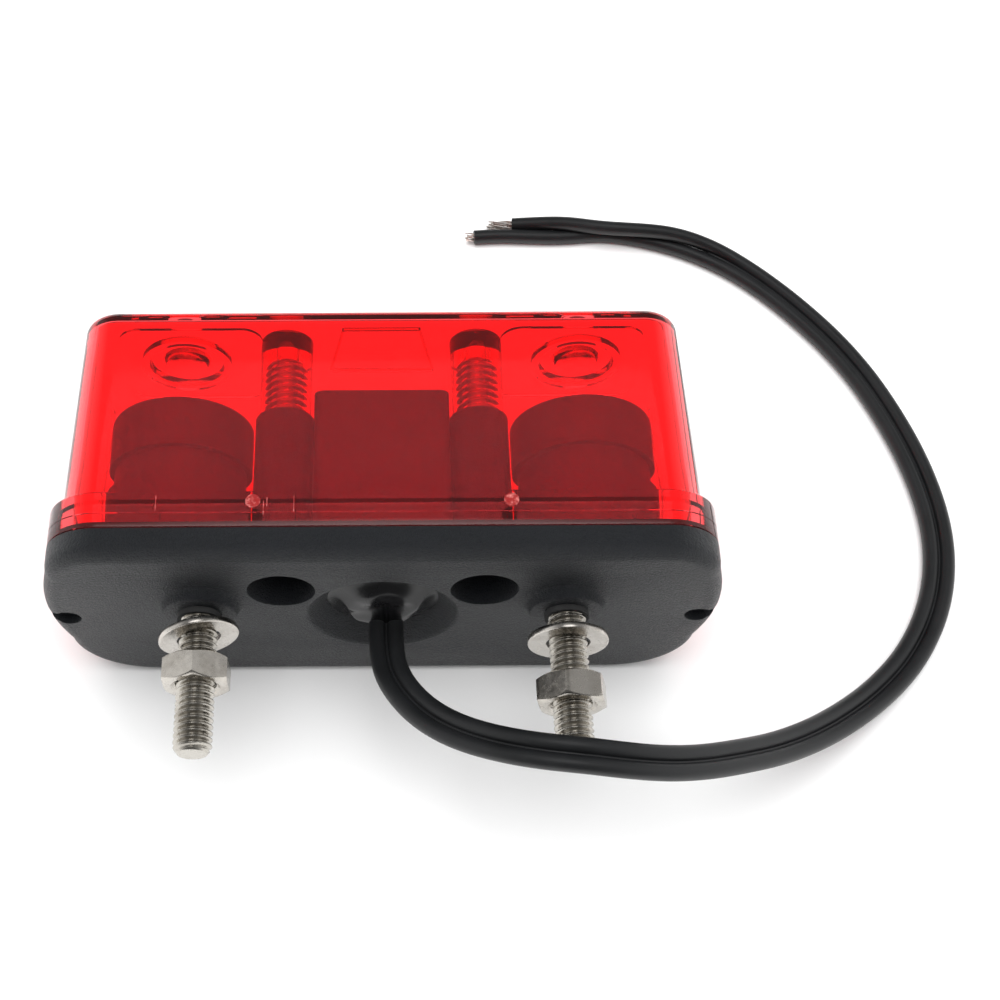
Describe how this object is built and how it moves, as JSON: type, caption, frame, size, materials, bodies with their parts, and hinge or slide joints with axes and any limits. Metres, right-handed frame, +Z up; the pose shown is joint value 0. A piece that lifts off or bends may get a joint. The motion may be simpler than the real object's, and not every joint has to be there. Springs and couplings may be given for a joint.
{
  "type": "trailer tail light",
  "caption": "Stud-mounted red rectangular trailer tail light with a black back housing, threaded studs with nuts and washers, and a twin-core cable with bare ends.",
  "frame": {"origin": "on the standing surface, under the middle of the lamp and its studs; the lamp stands on its lower long side", "axes": "+X along the lamp's length, +Y out through the lens (the studs point along -Y), +Z up"},
  "size_m": [0.1533, 0.1244, 0.0435],
  "materials": {
    "black_plastic": "grained matte",
    "red_lens": "clear red, polished",
    "seal_rubber": "matte",
    "red_panel": "prismatic red",
    "board": "white solder mask",
    "well_plastic": "satin",
    "led_resin": "clear resin",
    "component": "varnished",
    "lead": "satin",
    "potting": "glossy, uneven",
    "stainless": "turned stainless",
    "zinc_steel": "zinc plated",
    "cable_cover": "satin",
    "tinned_copper": "tinned strands"
  },
  "bodies": {
    "lamp": {"base_housing": "black_plastic", "screw_tube_left": "black_plastic", "screw_tube_right": "black_plastic", "lens": "red_lens", "lens_seal": "seal_rubber", "reflex_panel": "red_panel", "led_board": "board", "led_well_left": "well_plastic", "led_well_right": "well_plastic", "centre_block": "well_plastic", "tail_led_left": "led_resin", "tail_led_right": "led_resin", "stop_leds": "led_resin", "resistors": "component", "diode": "component", "inner_leads": "lead", "potting_plug": "potting", "stud_left": "stainless", "stud_right": "stainless", "collar_left": "seal_rubber", "collar_right": "seal_rubber", "lens_screw_left": "zinc_steel", "lens_screw_right": "zinc_steel", "cable_core_outer": "cable_cover", "cable_core_inner": "cable_cover", "bare_end_outer": "tinned_copper", "bare_end_inner": "tinned_copper"},
    "washer_left": {"washer_left": "stainless"},
    "washer_right": {"washer_right": "stainless"},
    "nut_left": {"nut_left": "stainless"},
    "nut_right": {"nut_right": "stainless"}
  },
  "joints": [
    {"name": "nut_left_travel", "type": "slide", "parent": "lamp", "child": "washer_left", "axis": [0, 1, 0], "range_m": [-0.009, 0.001]},
    {"name": "nut_left_turn", "type": "hinge", "parent": "washer_left", "child": "nut_left", "pos_m": [-0.02825, -0.02255, 0.0271], "axis": [0, 1, 0], "range_deg": [-3242, 362]},
    {"name": "nut_right_travel", "type": "slide", "parent": "lamp", "child": "washer_right", "axis": [0, 1, 0], "range_m": [-0.004, 0.003]},
    {"name": "nut_right_turn", "type": "hinge", "parent": "washer_right", "child": "nut_right", "pos_m": [0.02825, -0.02605, 0.0271], "axis": [0, 1, 0], "range_deg": [-1442, 1082]}
  ],
  "couplings": [
    {"joint": "nut_left_turn", "follows": "nut_left_travel", "rad_per_m": 6283.2},
    {"joint": "nut_right_turn", "follows": "nut_right_travel", "rad_per_m": 6283.2}
  ]
}
